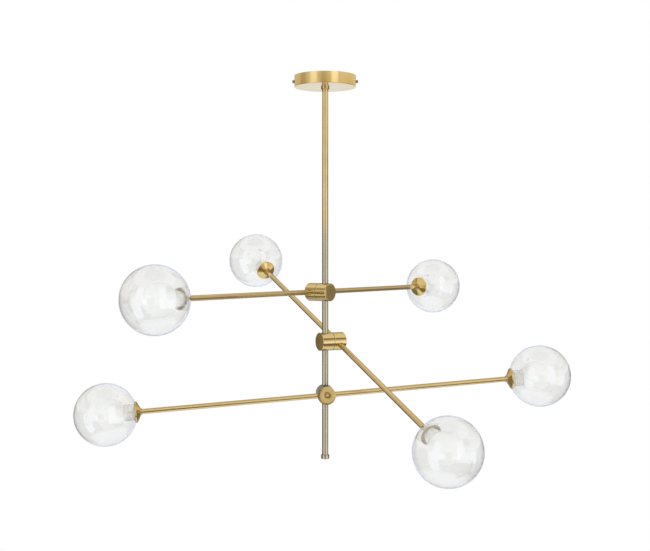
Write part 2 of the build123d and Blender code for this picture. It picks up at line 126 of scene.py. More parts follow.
HOLDER_RADIUS = 13.5
HOLDER_STEM_RADIUS = 7.0
HOLDER_TO_CUP = 0.3
HOLDER_THREAD = 0.9
HOLDER_PITCH = 4.0
HOLDER_TURN_RINGS = 14  # rings of the mesh in one turn of the thread
HOLDER_SPIGOT = 8.0
HOLDER_BORE_RADIUS = 2.0
HOLDER_NOSE_RADIUS = 9.0
HOLDER_NOSE = 5.0
CAPSULE_POCKET_RADIUS = 5.7
CAPSULE_BASE = 3.0

NECK_INNER = HOLDER_RADIUS + NECK_CLEARANCE
NECK_OUTER = NECK_INNER + GLOBE_WALL
OPAL_FOOT = -OPAL_OFFSET - sqrt(OPAL_RADIUS**2 - NECK_OUTER**2)
CUP_INNER = CUP_RADIUS - CUP_WALL
CUP_RIM = -sqrt(GLOBE_RADIUS**2 - CUP_INNER**2) - CUP_TO_GLASS
CUP_BACK = CUP_RIM - CUP_DEPTH
CUP_SEAT = CUP_BACK + CUP_WALL
CUP_SLOPE = (CUP_DEPTH - CUP_RIM_HEIGHT) / (CUP_RADIUS - CUP_FLOOR_RADIUS)
CUP_CONE_WALL = CUP_WALL * sqrt(1 + CUP_SLOPE**2)
HOLDER_TOP = OPAL_FOOT - SLIP

LAMPS = {"upper": ("right", "left"), "middle": ("front", "back"), "lower": ("right", "left")}
WORLD = Matrix.Identity(4)
UP = (0, 0, 1)

scene = bpy.context.scene
joints = {j["name"]: j for j in frame["joints"]}


# ---------------------------------------------------------------- mesh code

ARC_TURN = 22  # degrees; a corner that turns less is a point of an arc
SHARP_EDGE = 32  # degrees
TINY = 1e-6


def soften(profile, radius, closed=True, segments=3):
    """Rounds the corners of an outline of (radius, height) points, but not the points of an arc.
    Returns the points and, for each of them, 1 on a rounded corner and 0 elsewhere; brass is
    painted paler where it is 1, for rubbed wear and a painted edge highlight."""
    points, wear_and_highlight = [], []
    count = len(profile)
    for i, here in enumerate(profile):
        here = Vector(here)
        back, ahead = Vector(profile[i - 1]) - here, Vector(profile[(i + 1) % count]) - here
        end = not closed and i in (0, count - 1)
        short = back.length < TINY or ahead.length < TINY
        if end or short or (-back).angle(ahead) < radians(ARC_TURN):
            points.append(tuple(here))
            wear_and_highlight.append(0.0)
            continue
        reach = min(radius, 0.45 * back.length, 0.45 * ahead.length)
        start, stop = here + back.normalized() * reach, here + ahead.normalized() * reach
        for k in range(segments + 1):
            t = k / segments
            points.append(tuple((1 - t) ** 2 * start + 2 * t * (1 - t) * here + t * t * stop))
            wear_and_highlight.append(1.0)
    return points, wear_and_highlight


def arc(centre, radius, start, stop, segments):
    """Points of an arc in the outline's plane, angles in degrees from the radius axis."""
    return [
        (centre[0] + radius * cos(radians(a)), centre[1] + radius * sin(radians(a)))
        for a in (start + (stop - start) * k / segments for k in range(segments + 1))
    ]


def divided(start, stop, pieces):
    """Evenly spaced points from start up to but not including stop."""
    return [
        (start[0] + (stop[0] - start[0]) * k / pieces, start[1] + (stop[1] - start[1]) * k / pieces)
        for k in range(pieces)
    ]


def mesh_object(name, bm, place, sharp=SHARP_EDGE):
    bmesh.ops.remove_doubles(bm, verts=bm.verts, dist=1e-7)
    bmesh.ops.recalc_face_normals(bm, faces=bm.faces)
    mesh = bpy.data.meshes.new(name)
    bm.to_mesh(mesh)
    bm.free()
    mesh.shade_smooth()
    mesh.set_sharp_from_angle(angle=radians(sharp))
    made = bpy.data.objects.new(name, mesh)
    scene.collection.objects.link(made)
    made.matrix_world = place
    return made


def lathe(name, profile, place, steps=96, closed=True, soft=0.25, shape=None, sharp=SHARP_EDGE):
    """Turns an outline of (radius, height) about Z, its corners rounded by soft. shape(radius,
    height, turn) may change the radius."""
    points, wear_and_highlight = soften(profile, soft, closed) if soft else (profile, [0.0] * len(profile))
    bm = bmesh.new()
    # Share of paler brass at each vertex: rubbed wear and a painted edge highlight on rounded
    # corners.
    edge_wear_and_highlight = bm.verts.layers.float.new("edge_wear_and_highlight")
    rings = []
    for (radius, height), value in zip(points, wear_and_highlight):
        if radius < TINY:
            ring = [bm.verts.new((0, 0, height * MM))]
        else:
            ring = []
            for k in range(steps):
                turn = tau * k / steps
                r = shape(radius, height, turn) if shape else radius
                ring.append(bm.verts.new((r * cos(turn) * MM, r * sin(turn) * MM, height * MM)))
        for vertex in ring:
            vertex[edge_wear_and_highlight] = value
        rings.append(ring)
    for i in range(len(rings) if closed else len(rings) - 1):
        low, high = rings[i], rings[(i + 1) % len(rings)]
        if len(low) == 1 and len(high) == 1:
            continue
        for k in range(steps):
            corners = [
                low[k % len(low)], low[(k + 1) % len(low)],
                high[(k + 1) % len(high)], high[k % len(high)],
            ]
            bm.faces.new(list(dict.fromkeys(corners)))
    return mesh_object(name, bm, place, sharp)


def rod(name, radius, low, high, place, steps=64):
    outline = [(0, low), (radius, low), (radius, high), (0, high)]
    return lathe(name, outline, place, steps, closed=False, soft=0)


def cut(body, cutters):
    """Takes the cutters out of the body and removes them."""
    for cutter in cutters:
        step = body.modifiers.new("cut", "BOOLEAN")
        step.operation, step.solver, step.object = "DIFFERENCE", "EXACT", cutter
    bpy.context.view_layer.update()
    graph = bpy.context.evaluated_depsgraph_get()
    mesh = bpy.data.meshes.new_from_object(body.evaluated_get(graph), depsgraph=graph)
    body.modifiers.clear()
    old, body.data = body.data, mesh
    mesh.name = body.name
    bpy.data.meshes.remove(old)
    for cutter in cutters:
        gone = cutter.data
        bpy.data.objects.remove(cutter)
        bpy.data.meshes.remove(gone)
    mesh.shade_smooth()
    mesh.set_sharp_from_angle(angle=radians(SHARP_EDGE))


def round_normals(body, radius):
    """Gives the side of a turned block its true normals, which a cut leaves uneven."""
    mesh = body.data
    normals = [Vector(n.vector) for n in mesh.corner_normals]
    for face in mesh.polygons:
        middle = face.center
        if abs(face.normal.z) < 0.05 and Vector((middle.x, middle.y)).length > 0.985 * radius * MM:
            for loop in face.loop_indices:
                co = mesh.vertices[mesh.loops[loop].vertex_index].co
                normals[loop] = Vector((co.x, co.y, 0)).normalized()
    mesh.normals_split_custom_set(normals)


def even_shading(piece):
    """Keeps flat faces flat beside their rounded edges."""
    step = piece.modifiers.new("even shading", "WEIGHTED_NORMAL")
    step.keep_sharp = True


def basis(origin, z_axis, x_axis):
    """A frame at origin (metres) with those axes, x made square to z."""
    z = Vector(z_axis).normalized()
    x = (Vector(x_axis) - Vector(x_axis).dot(z) * z).normalized()
    y = z.cross(x)
    return Matrix.Translation(origin) @ Matrix((x, y, z)).transposed().to_4x4()


def placed(piece, body, slot, look, *nodes):
    """Gives a piece its look and body; it stands for the CAD nodes named. Its vertices move to
    their place in the shared frame, and each keeps its place on the piece's own axes."""
    mesh = piece.data
    own = mesh.attributes.new("own_axes", "FLOAT_VECTOR", "POINT")
    for vertex, value in zip(mesh.vertices, own.data):
        value.vector = vertex.co
    mesh.transform(piece.matrix_world)
    piece.matrix_world = WORLD
    mesh.materials.clear()
    mesh.materials.append(look)
    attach(piece, body)
    if nodes:
        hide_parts(*nodes)


# ---------------------------------------------------------------- materials

GRAIN_SCALE = 2600.0
GRAIN_ALONG = (1.0, 1.0, 0.012)
PATCH_SCALE = 38.0
DEEP_TONE, LIGHT_TONE = 0.36, 0.62
# Paler brass on rounded edges, partly rubbed wear and partly a painted edge highlight, and its
# share in the colour.
EDGE_WEAR_AND_HIGHLIGHT_COLOUR = (0.95, 0.84, 0.58)
EDGE_WEAR_AND_HIGHLIGHT_SHARE = 0.35

# Finishes of the brass, each with its light and its deep colour. The pale grey pair is no finish
# but a painted reflection, which greys the stem's lower end and the end cap.
GOLD = (0.87, 0.650, 0.250), (0.77, 0.555, 0.190)
SATIN = (0.87, 0.650, 0.265), (0.79, 0.575, 0.215)
TAN = (0.87, 0.635, 0.285), (0.78, 0.545, 0.220)
OCHRE = (0.74, 0.55, 0.215), (0.62, 0.45, 0.155)
# A darker brass, used on the canopy's collar.
DARKER_BRASS = (0.66, 0.48, 0.20), (0.44, 0.31, 0.11)
DULL = (0.34, 0.25, 0.11), (0.22, 0.16, 0.07)
BRIGHT = (0.90, 0.70, 0.36), (0.78, 0.57, 0.24)
GREY_REFLECTION = (0.35, 0.335, 0.285), (0.28, 0.265, 0.22)
# Heights over which the grey painted reflection takes over the stem's colour.
STEM_REFLECTION_FROM, STEM_REFLECTION_AT = -250.0, -340.0  # heights, from the ceiling


def grey(value):
    return (value, value, value)


class Nodes:
    """Short ways to build a node tree. A value is a number, a vector, a colour or an output."""

    def __init__(self, tree):
        self.tree = tree
        tree.nodes.clear()

    def feed(self, socket, value):
        if isinstance(value, bpy.types.NodeSocket):
            self.tree.links.new(value, socket)
        elif socket.type == "RGBA":
            socket.default_value = (*value, 1)
        else:
            socket.default_value = value

    def node(self, kind, inputs=None, **settings):
        made = self.tree.nodes.new("ShaderNode" + kind)
        for key, value in settings.items():
            setattr(made, key, value)
        for key, value in (inputs or {}).items():
            self.feed(made.inputs[key], value)
        return made

    def split(self, vector):
        return self.node("SeparateXYZ", {0: vector}).outputs

    def math(self, operation, a, b=0.0):
        return self.node("Math", {0: a, 1: b}, operation=operation).outputs[0]

    def weigh(self, a, b, share):
        """a with that share and b with the rest."""
        a, b = self.math("MULTIPLY", a, share), self.math("MULTIPLY", b, 1 - share)
        return self.math("ADD", a, b)

    def ramp(self, fac, *stops):
        made = self.node("ValToRGB", {0: fac})
        elements = made.color_ramp.elements
        while len(elements) < len(stops):
            elements.new(0.5)
        for element, (position, colour) in zip(elements, stops):
            element.position = position
            element.color = (*colour, 1)
        return made.outputs[0]

    def smoothstep(self, value, start, stop):
        inputs = {"Value": value, "From Min": start, "From Max": stop}
        return self.node("MapRange", inputs, interpolation_type="SMOOTHSTEP").outputs[0]

    def mix(self, fac, a, b):
        return self.node("Mix", {0: fac, 6: a, 7: b}, data_type="RGBA").outputs[2]

    def mix_shaders(self, fac, a, b):
        return self.node("MixShader", {0: fac, 1: a, 2: b}).outputs[0]


class Look(Nodes):
    """A material with one Principled shader."""

    def __init__(self, name, own_axes=True, **sockets):
        self.own_axes = own_axes
        self.material = bpy.data.materials.new(name)
        self.material.use_nodes = True
        super().__init__(self.material.node_tree)
        self.shader = self.node("BsdfPrincipled")
        self.output = self.node("OutputMaterial")
        self.show(self.shader.outputs[0])
        for key, value in sockets.items():
            self.put(key.replace("_", " "), value)

    def show(self, surface):
        """Makes a shader's output the material's surface."""
        self.feed(self.output.inputs[0], surface)

    def put(self, socket, value):
        """Gives the Principled shader a value."""
        self.feed(self.shader.inputs[socket], value)

    def noise(self, vector, scale, detail=3.0, rough=0.5):
        inputs = {"Scale": scale, "Detail": detail, "Roughness": rough, "Vector": vector}
        return self.node("TexNoise", inputs).outputs["Fac"]

    def spread(self, fac, low, high):
        """fac's 0.3 to 0.7, where noise mostly lies, becomes low to high."""
        inputs = {"Value": fac, "From Min": 0.3, "From Max": 0.7, "To Min": low, "To Max": high}
        return self.node("MapRange", inputs).outputs[0]

    def bump(self, height, strength, distance):
        inputs = {"Strength": strength, "Distance": distance, "Height": height}
        self.put("Normal", self.node("Bump", inputs).outputs[0])

    def place(self):
        """Where a point lies, along the piece's own axes where it has them."""
        if self.own_axes:
            return self.node("Attribute", attribute_name="own_axes").outputs["Vector"]
        return self.node("TexCoord").outputs["Object"]

    def stretched(self, scale):
        inputs = {"Scale": scale, "Vector": self.place()}
        return self.node("Mapping", inputs, vector_type="POINT").outputs[0]

    def turned(self):
        """The distance from the piece's axis and the height along it, for marks from turning."""
        x, y, z = self.split(self.place())
        squares = self.math("ADD", self.math("MULTIPLY", x, x), self.math("MULTIPLY", y, y))
        return self.node("CombineXYZ", {0: self.math("SQRT", squares), 2: z}).outputs[0]


def brass(name, grain, finish, rough, lines=0.35, reflection_grey=None, edge=0.25):
    """Brushed brass. grain is "long" for marks along the piece and "turned" for marks round it,
    and lines is their share in the colour. Toward the stem's end a grey painted reflection takes
    over the colour. Rounded edges turn paler, for rubbed wear and a painted edge highlight. edge is
    how much the metal mirrors at a grazing angle."""
    look = Look(name, Metallic=1.0, Specular_Tint=grey(edge))
    along = look.stretched(GRAIN_ALONG) if grain == "long" else look.turned()
    marks = look.noise(along, GRAIN_SCALE, 3.0, 0.6)
    patches = look.noise(look.place(), PATCH_SCALE, 4.0, 0.6)
    tone = look.weigh(marks, patches, lines)

    def coloured(light, deep):
        return look.ramp(tone, (DEEP_TONE, deep), (LIGHT_TONE, light))

    colour = coloured(*finish)
    # Painted reflection: toward the stem's end the colour turns to a grey that stands in for a
    # reflection.
    if reflection_grey:
        height = look.split(look.place())[2]
        fade = look.smoothstep(height, STEM_REFLECTION_FROM * MM, STEM_REFLECTION_AT * MM)
        colour = look.mix(fade, colour, coloured(*reflection_grey))
    # Rounded edges turn paler: partly rubbed wear, partly a painted edge highlight.
    wear_and_highlight = look.node("Attribute", attribute_name="edge_wear_and_highlight").outputs["Fac"]
    look.put("Base Color", look.mix(look.math("MULTIPLY", wear_and_highlight, EDGE_WEAR_AND_HIGHLIGHT_SHARE), colour, EDGE_WEAR_AND_HIGHLIGHT_COLOUR))
    grained = look.spread(marks, -0.04, 0.05)
    smudged = look.spread(patches, rough - 0.03, rough + 0.04)
    look.put("Roughness", look.math("ADD", grained, smudged))
    look.bump(marks, 0.03, 0.00002)
    return look.material


def moulded(name, light, deep, rough, scale=60.0, **sockets):
    """A moulded or glazed surface with faint mottling and a fine skin."""
    look = Look(name, **sockets)
    patches = look.noise(look.place(), scale, 4.0, 0.55)
    look.put("Base Color", look.ramp(patches, (0.35, deep), (0.65, light)))
    look.put("Roughness", look.spread(patches, rough - 0.05, rough + 0.07))
    look.bump(look.noise(look.place(), 1400.0, 2.0), 0.08, 0.00003)
    return look.material


def plated_steel(name):
    """Zinc plate with its spangle."""
    look = Look(name, own_axes=False, Metallic=1.0)
    spangle = look.node("TexVoronoi", {"Scale": 700.0, "Vector": look.place()})
    patches = look.noise(look.place(), 90.0, 4.0)
    tone = look.weigh(spangle.outputs["Color"], patches, 0.3)
    look.put("Base Color", look.ramp(tone, (0.3, (0.44, 0.45, 0.45)), (0.7, (0.66, 0.67, 0.66))))
    look.put("Roughness", look.spread(patches, 0.28, 0.42))
    look.bump(spangle.outputs["Distance"], 0.05, 0.00003)
    return look.material


def clear_glass(name):
    """Blown glass: faintly grey, slightly wavy, and lets lamp light through."""
    look = Look(
        name, Transmission_Weight=1.0, Roughness=0.0, IOR=1.5,
        Coat_Weight=1.0, Coat_IOR=1.85, Coat_Roughness=0.02,
    )
    waves = look.noise(look.place(), 26.0, 2.0, 0.4)
    tint = look.ramp(waves, (0.35, (0.945, 0.948, 0.950)), (0.65, (0.958, 0.961, 0.963)))
    look.put("Base Color", tint)
    look.bump(waves, 0.03, 0.0004)
    path = look.node("LightPath")
    through = look.node("BsdfTransparent", {0: grey(0.99)}).outputs[0]
    shown = look.shader.outputs[0]
    for ray in ("Is Shadow Ray", "Is Diffuse Ray"):
        shown = look.mix_shaders(path.outputs[ray], shown, through)
    look.show(shown)
    return look.material


looks = {
    "canopy": brass("canopy_brass", "turned", SATIN, 0.17, lines=0.5, edge=1.0),
    "stem": brass("stem_brass", "long", OCHRE, 0.10, lines=0.4, reflection_grey=GREY_REFLECTION),
    "block": brass("block_brass", "turned", GOLD, 0.11),
    "arm": brass("arm_brass", "long", TAN, 0.12, lines=0.4),
    "cup": brass("cup_brass", "turned", GOLD, 0.08),
    "screw": brass("screw_brass", "turned", DULL, 0.24),
    "collar": brass("collar_brass", "turned", DARKER_BRASS, 0.16),
    "pivot": brass("pivot_brass", "turned", BRIGHT, 0.12),
    # The end cap is coloured all in the grey painted reflection.
    "end": brass("end_cap_brass", "turned", GREY_REFLECTION, 0.12),
    "steel": plated_steel("zinc_plated_steel"),
    "holder": moulded(
        "holder_white", (0.86, 0.85, 0.79), (0.78, 0.77, 0.71), 0.32, Coat_Weight=0.3),
    "nylon": moulded(
        "terminal_nylon", (0.84, 0.84, 0.81), (0.74, 0.74, 0.70), 0.5, 220.0, own_axes=False),
    "washer": moulded(
        "washer_nylon", (0.13, 0.12, 0.11), (0.08, 0.075, 0.07), 0.45, 300.0, own_axes=False),
    "lead": moulded(
        "lead_rubber", (0.82, 0.81, 0.78), (0.72, 0.71, 0.67), 0.6, 180.0, own_axes=False),
    "capsule": moulded(
        "capsule_frosted", (0.92, 0.88, 0.76), (0.86, 0.80, 0.64), 0.35, 120.0, own_axes=False),
    "opal": moulded(
        "opal_white_glass", (0.955, 0.955, 0.945), (0.925, 0.925, 0.91), 0.16, 18.0,
        Coat_Weight=0.4, Subsurface_Weight=0.15, Subsurface_Scale=0.004),
    "glass": clear_glass("clear_blown_glass"),
}


def finish_node(node, look):
    """Gives a CAD node that stays in view its look."""
    materials = frame["nodes"][node].data.materials
    materials.clear()
    materials.append(looks[look])


# ---------------------------------------------------------------- canopy and stem

canopy_floor = CANOPY_WALL - CANOPY_HEIGHT
canopy_inner = CANOPY_RADIUS - CANOPY_WALL
edge_top = -CANOPY_HEIGHT + CANOPY_EDGE
canopy = lathe("canopy_spun_cover", [
    (CANOPY_RADIUS, 0.0), (CANOPY_RADIUS, edge_top),
    *arc((CANOPY_RADIUS - CANOPY_EDGE, edge_top), CANOPY_EDGE, 0, -90, 6)[1:],
    (CANOPY_HOLE_RADIUS, -CANOPY_HEIGHT), (CANOPY_HOLE_RADIUS, canopy_floor),
    (canopy_inner, canopy_floor), (canopy_inner, 0.0),
], WORLD, steps=192)
even_shading(canopy)
placed(canopy, "stem", "brass", looks["canopy"], "canopy_cover")


def knurled(radius, height, turn):
    """Fine straight ridges round a thumb screw's head."""
    if radius > SIDE_SCREW_RADIUS + 0.5:
        return radius + KNURL_DEPTH * (cos(KNURL_RIDGES * turn) - 1)
    return radius


screw_top = CANOPY_RADIUS + SIDE_SCREW_HEAD
screw_seat = CANOPY_RADIUS + SKIN
screw_tip = CANOPY_RADIUS - SIDE_SCREW_LENGTH
screws = []
for side, sign in (("right", 1), ("left", -1)):
    place = basis((0, 0, -SIDE_SCREW_DROP * MM), (sign, 0, 0), UP)
    screw = lathe(f"side_screw_{side}", [
        (0, screw_top), (SIDE_SCREW_HEAD_RADIUS, screw_top), (SIDE_SCREW_HEAD_RADIUS, screw_seat),
        (SIDE_SCREW_RADIUS, screw_seat), (SIDE_SCREW_RADIUS, screw_tip), (0, screw_tip),
    ], place, steps=96, closed=False, soft=0.4, shape=knurled)
    size = (SIDE_SCREW_SLOT * MM, SLOT_CUTTER_LENGTH * MM, SIDE_SCREW_HEAD * MM, 1)
    where = Matrix.Translation((0, 0, screw_top * MM)) @ Matrix.Diagonal(size)
    slot = bmesh.new()
    bmesh.ops.create_cube(slot, size=1.0, matrix=where)
    cut(screw, [mesh_object("slot_cutter", slot, place)])
    screws.append(screw)
placed(screws[0], "stem", "brass", looks["screw"], "canopy_side_screws")
placed(screws[1], "stem", "brass", looks["screw"], "canopy_side_screws")

collar_bore = STEM_RADIUS + SLIP
collar_bottom = -CANOPY_HEIGHT - COLLAR_HEIGHT
collar = lathe("canopy_collar_ring", [
    (collar_bore, -CANOPY_HEIGHT), (COLLAR_RADIUS, -CANOPY_HEIGHT),
    (COLLAR_RADIUS, collar_bottom + TURNED_CHAMFER),
    (COLLAR_RADIUS - TURNED_CHAMFER, collar_bottom), (collar_bore, collar_bottom),
], WORLD, steps=96, soft=0.2)
even_shading(collar)
placed(collar, "stem", "brass", looks["collar"], "canopy_collar")

stem_bottom = END_CAP_HEIGHT - TOTAL_DROP
stem = lathe("stem_drawn_tube", [
    (STEM_RADIUS, -CANOPY_HEIGHT), (STEM_RADIUS, stem_bottom),
    (STEM_BORE_RADIUS, stem_bottom), (STEM_BORE_RADIUS, -CANOPY_HEIGHT),
], WORLD, steps=96, soft=0.15)
even_shading(stem)
placed(stem, "stem", "brass", looks["stem"], "stem_tube")

plug_radius = STEM_BORE_RADIUS - SLIP
end_cap = lathe("stem_end_button", [
    (0, -TOTAL_DROP), (END_CAP_RADIUS - TURNED_CHAMFER, -TOTAL_DROP),
    (END_CAP_RADIUS, -TOTAL_DROP + TURNED_CHAMFER), (END_CAP_RADIUS, stem_bottom - SLIP),
    (plug_radius, stem_bottom - SLIP), (plug_radius, stem_bottom + END_CAP_PLUG),
    (0, stem_bottom + END_CAP_PLUG),
], WORLD, steps=96, closed=False, soft=0.3)
even_shading(end_cap)
placed(end_cap, "stem", "brass", looks["end"], "stem_end_cap")

for node in ("ceiling_bracket", "earth_screw", "stem_nipple", "nipple_washer", "nipple_nut"):
    finish_node(node, "steel")
finish_node("terminal_block", "nylon")
finish_node("supply_lead", "lead")


# ---------------------------------------------------------------- swivel joints and lamp heads


def cup_inside(radius):
    """Height of the cup's inner face at that radius."""
    return CUP_BACK + CUP_SLOPE * (radius - CUP_FLOOR_RADIUS) + CUP_CONE_WALL


THREAD_LOW, THREAD_HIGH = cup_inside(HOLDER_RADIUS) + HOLDER_TO_CUP, HOLDER_TOP


def threaded(radius, height, turn):
    """The lampholder's screw thread, which fades out at both ends."""
    if radius <= HOLDER_RADIUS - HOLDER_THREAD or not THREAD_LOW <= height <= THREAD_HIGH:
        return radius
    low, high = (height - THREAD_LOW) / HOLDER_PITCH, (THREAD_HIGH - height) / HOLDER_PITCH
    wave = sin(tau * height / HOLDER_PITCH - turn)
    return radius + min(1.0, low, high) * HOLDER_THREAD / 2 * wave


def holder_profile():
    """Lampholder: spigot in the arm, stem through the cup, threaded barrel, nose and pocket."""
    root = HOLDER_RADIUS - HOLDER_THREAD / 2
    nose_top = HOLDER_TOP + HOLDER_NOSE
    pocket_floor = nose_top - CAPSULE_BASE
    spigot = ARM_BORE_RADIUS - SLIP
    bottom = CUP_BACK - HOLDER_SPIGOT
    rings = ceil((HOLDER_TOP - THREAD_LOW) / HOLDER_PITCH * HOLDER_TURN_RINGS)
    return [
        (HOLDER_BORE_RADIUS, bottom), (spigot, bottom), (spigot, CUP_SEAT),
        (HOLDER_STEM_RADIUS, CUP_SEAT), (HOLDER_STEM_RADIUS, THREAD_LOW),
        *divided((root, THREAD_LOW), (root, HOLDER_TOP), rings), (root, HOLDER_TOP),
        (HOLDER_NOSE_RADIUS, HOLDER_TOP), (HOLDER_NOSE_RADIUS, nose_top),
        (CAPSULE_POCKET_RADIUS, nose_top), (CAPSULE_POCKET_RADIUS, pocket_floor),
        (HOLDER_BORE_RADIUS, pocket_floor),
    ]


def globe_profile():
    """Clear shell: outer sphere, rounded lip, neck inside, and the inner sphere."""
    outer, within = GLOBE_RADIUS - SKIN, GLOBE_RADIUS - GLOBE_WALL
    mouth = sqrt(outer**2 - NECK_INNER**2)
    fold = sqrt(within**2 - NECK_OUTER**2)
    skin = arc((0, 0), outer, 90, -90 + degrees(atan2(NECK_INNER, mouth)), 64)
    lining = arc((0, 0), within, -90 + degrees(atan2(NECK_OUTER, fold)), 90, 64)
    neck = divided((NECK_INNER, -mouth), (NECK_INNER, OPAL_FOOT), 6)[1:]
    back = divided((NECK_OUTER, OPAL_FOOT), (NECK_OUTER, -fold), 6)
    return [
        (0, outer), *skin[1:], *neck, (NECK_INNER, OPAL_FOOT), *back, *lining[:-1], (0, within),
    ]


def opal_profile():
    """Opal ball, open at the foot that stands on the clear globe's neck."""
    outer, within = OPAL_RADIUS, OPAL_RADIUS - OPAL_WALL
    centre, foot = (0, -OPAL_OFFSET), OPAL_FOOT + OPAL_OFFSET
    skin = arc(centre, outer, 90, degrees(atan2(foot, NECK_OUTER)), 40)
    lining = arc(centre, within, degrees(atan2(foot, sqrt(within**2 - foot**2))), 90, 40)
    return [(0, outer - OPAL_OFFSET), *skin[1:], *lining[:-1], (0, within - OPAL_OFFSET)]


def make_clamp(key, place, body):
    """place has Z out along the joint's axis, from the middle of the stem."""
    recess = HALF_LENGTH - WASHER_RECESS
    block = lathe(f"{key}_clamp_block", [
        (0, -HALF_LENGTH), (BLOCK_RADIUS, -HALF_LENGTH), (BLOCK_RADIUS, HALF_LENGTH),
        (WASHER_RADIUS, HALF_LENGTH), (WASHER_RADIUS, recess), (0, recess),
    ], place, steps=144, closed=False, soft=BLOCK_CHAMFER)
    upright = place @ Matrix.Rotation(pi / 2, 4, "Y")
    through = rod(
        "stem_cutter", STEM_PASSAGE_RADIUS, -2 * BLOCK_RADIUS, 2 * BLOCK_RADIUS, upright, 96)
    centre = place.translation
    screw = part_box(f"{key}_grub_screw")
    rear = ((screw[0] + screw[1]) / 2 - centre).normalized()
    grub = rod("grub_cutter", GRUB_HOLE_RADIUS, 0, 2 * BLOCK_RADIUS, basis(centre, rear, UP), 32)
    cut(block, [through, grub])
    round_normals(block, BLOCK_RADIUS)
    placed(block, body, "brass", looks["block"], f"{key}_stem_clamp")


def make_pivot(key, place, body):
    """Domed pivot bolt, on the clamp's frame."""
    shank = PIVOT_RADIUS - PIVOT_CLEARANCE
    seat = HUB_OFFSET + HALF_LENGTH - PIVOT_RECESS - PIVOT_HEAD + SLIP
    top = seat + PIVOT_HEAD
    rise = PIVOT_RECESS - PIVOT_DOME_RECESS
    dome = [
        (PIVOT_DOME_RADIUS * cos(radians(a)), top + rise * sin(radians(a)))
        for a in range(0, 90, 9)
    ]
    bolt = lathe(f"{key}_pivot_dome_bolt", [
        (0, PIVOT_TIP), (shank, PIVOT_TIP), (shank, seat), (PIVOT_HEAD_RADIUS, seat),
        (PIVOT_HEAD_RADIUS, top), *dome, (0, top + rise),
    ], place, steps=64, closed=False, soft=0.2)
    even_shading(bolt)
    placed(bolt, body, "brass", looks["pivot"], f"{key}_pivot_bolt")


def make_hub(key, place, body):
    """place has Z out along the joint's axis and X along the leading arm."""
    floor = HALF_LENGTH - PIVOT_RECESS - PIVOT_HEAD
    block = lathe(f"{key}_hub_block", [
        (0, -HALF_LENGTH), (BLOCK_RADIUS, -HALF_LENGTH), (BLOCK_RADIUS, HALF_LENGTH),
        (COUNTERBORE_RADIUS, HALF_LENGTH), (COUNTERBORE_RADIUS, floor), (0, floor),
    ], place, steps=144, closed=False, soft=BLOCK_CHAMFER)
    cut(block, [
        rod("socket_cutter", ARM_SOCKET_RADIUS, ARM_START, 2 * BLOCK_RADIUS,
            place @ Matrix.Rotation(sign * pi / 2, 4, "Y"), 64)
        for sign in (1, -1)
    ])
    round_normals(block, BLOCK_RADIUS)
    placed(block, body, "brass", looks["block"], f"{key}_arm_hub")


def make_arm(name, place, body):
    start, stop = ARM_START + SKIN, ARM_REACH + CUP_BACK - SKIN
    tube = lathe(f"{name}_arm_rod", [
        (ARM_RADIUS, start), (ARM_RADIUS, stop), (ARM_BORE_RADIUS, stop), (ARM_BORE_RADIUS, start),
    ], place, steps=64, soft=0.2)
    even_shading(tube)
    placed(tube, body, "brass", looks["arm"], f"{name}_arm_tube")


def make_lamp(name, place, body):
    """Cup, lampholder and both globes, on a frame at the clear globe's centre."""
    shoulder = CUP_RIM - CUP_RIM_HEIGHT
    boss_low = CUP_BACK - CUP_BOSS
    inner_floor = CUP_FLOOR_RADIUS - (CUP_CONE_WALL - CUP_WALL) / CUP_SLOPE
    hole, socket = ARM_BORE_RADIUS + SLIP, ARM_RADIUS + SLIP
    cup = lathe(f"{name}_spun_cup", [
        (hole, CUP_SEAT), (hole, CUP_BACK), (socket, CUP_BACK), (socket, boss_low),
        (CUP_BOSS_RADIUS, boss_low), (CUP_BOSS_RADIUS, CUP_BACK), (CUP_FLOOR_RADIUS, CUP_BACK),
        *((CUP_RADIUS - inset, shoulder + rise) for inset, rise in CUP_SHOULDER),
        (CUP_RADIUS, CUP_RIM), (CUP_INNER, CUP_RIM), (CUP_INNER, cup_inside(CUP_INNER)),
        (inner_floor, CUP_SEAT),
    ], place, steps=96, soft=0.3)
    even_shading(cup)
    placed(cup, body, "brass", looks["cup"], f"{name}_globe_cup")

    holder = lathe(
        f"{name}_threaded_holder", holder_profile(), place, steps=72, soft=0.2, shape=threaded,
        sharp=40)
    placed(holder, body, "white_holder", looks["holder"], f"{name}_lampholder")

    shell = lathe(
        f"{name}_blown_globe", globe_profile(), place, steps=128, closed=False, soft=GLOBE_LIP,
        sharp=180)
    placed(shell, body, "clear_glass", looks["glass"], f"{name}_clear_globe")

    ball = lathe(f"{name}_opal_ball", opal_profile(), place, steps=96, closed=False, soft=0.3)
    placed(ball, body, "opal_glass", looks["opal"], f"{name}_opal_globe")


